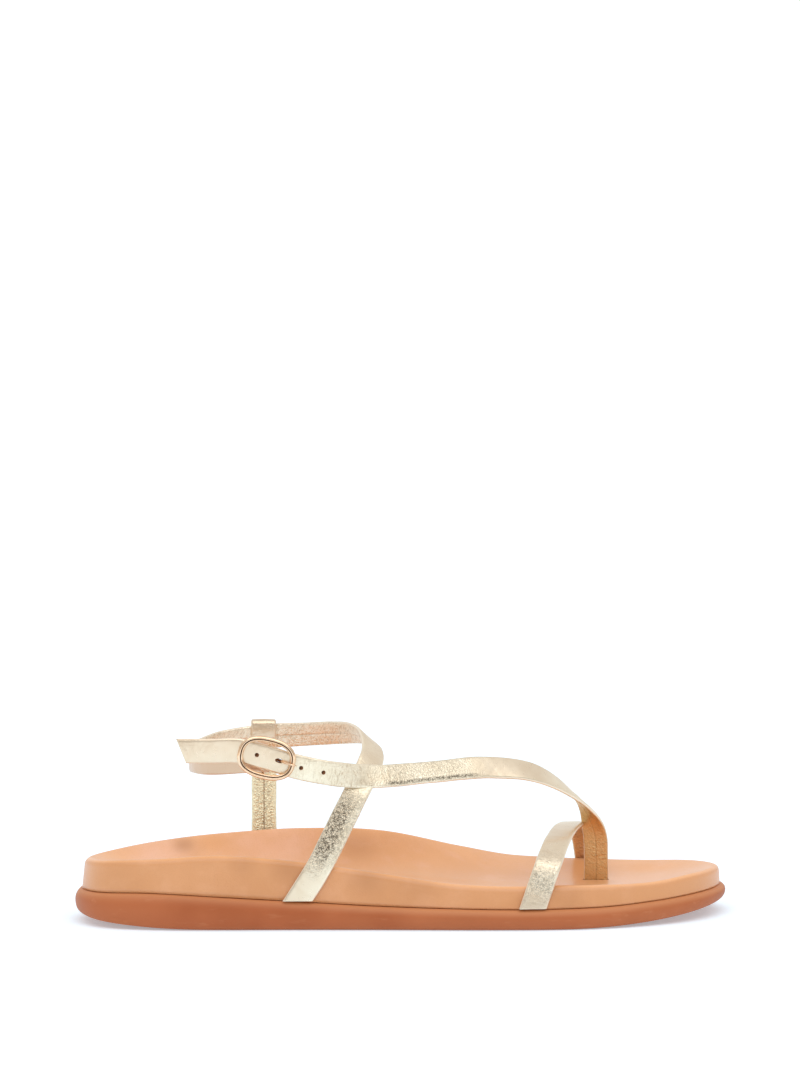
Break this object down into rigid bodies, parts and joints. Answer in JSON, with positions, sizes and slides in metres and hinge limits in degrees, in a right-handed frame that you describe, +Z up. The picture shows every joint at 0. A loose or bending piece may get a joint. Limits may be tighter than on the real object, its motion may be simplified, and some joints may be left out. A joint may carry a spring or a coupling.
{
  "type": "strappy sandal",
  "caption": "Flat strappy sandal for the right foot: rubber outsole, moulded leather footbed, toe strap, thong strap and a buckled ankle strap in metallic leather.",
  "frame": {"origin": "on the floor under the middle of the outsole's box", "axes": "+X from heel to toe along the heel-to-ball line, +Y to the inner side of the foot, +Z up"},
  "size_m": [0.2632, 0.0909, 0.0778],
  "materials": {
    "outsole": "matte terracotta rubber",
    "footbed": "smooth tan leather",
    "straps": "crinkled champagne-gold metallic leather",
    "buckle_frame": "polished rose gold",
    "buckle_prong": "polished rose gold"
  },
  "bodies": {
    "root": {"outsole": "outsole", "footbed": "footbed", "upper": "straps", "buckle_frame": "buckle_frame", "buckle_prong": "buckle_prong"}
  },
  "joints": []
}
